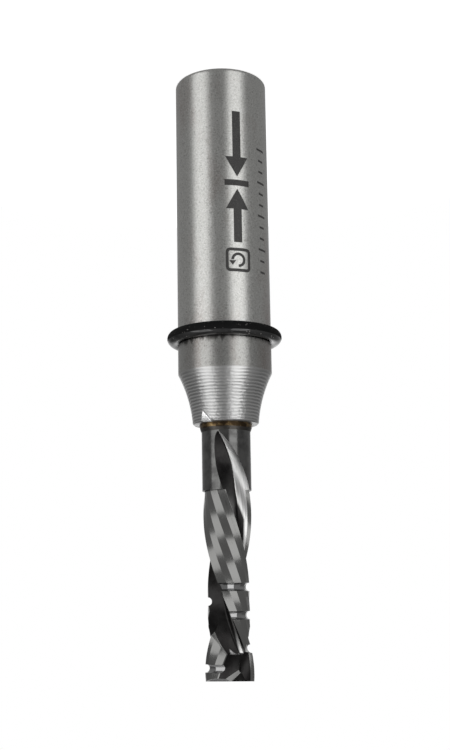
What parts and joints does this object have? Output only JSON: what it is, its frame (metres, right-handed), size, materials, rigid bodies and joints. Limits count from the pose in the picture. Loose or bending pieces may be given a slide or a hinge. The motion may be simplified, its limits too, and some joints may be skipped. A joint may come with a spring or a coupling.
{
  "type": "compression router bit",
  "caption": "Carbide compression router bit: steel shank with a rubber stop ring, tapered neck and a brazed cutter whose spiral flutes run opposite ways towards the middle.",
  "frame": {"origin": "centre of the flat end face of the shank, on which the bit stands", "axes": "+Z along the tool axis from the shank end to the cutting tip"},
  "size_m": [0.0148, 0.0148, 0.0776],
  "materials": {
    "shank_steel": "fine ground hardened steel, turned rings on the neck",
    "ring_rubber": "black moulded rubber with a soft sheen",
    "braze_metal": "oxidised dark gold braze",
    "carbide": "polished dark grey carbide with bright ground faces"
  },
  "bodies": {
    "root": {"shank": "shank_steel", "stop_ring": "ring_rubber", "braze": "braze_metal", "cutter": "carbide"}
  },
  "joints": []
}
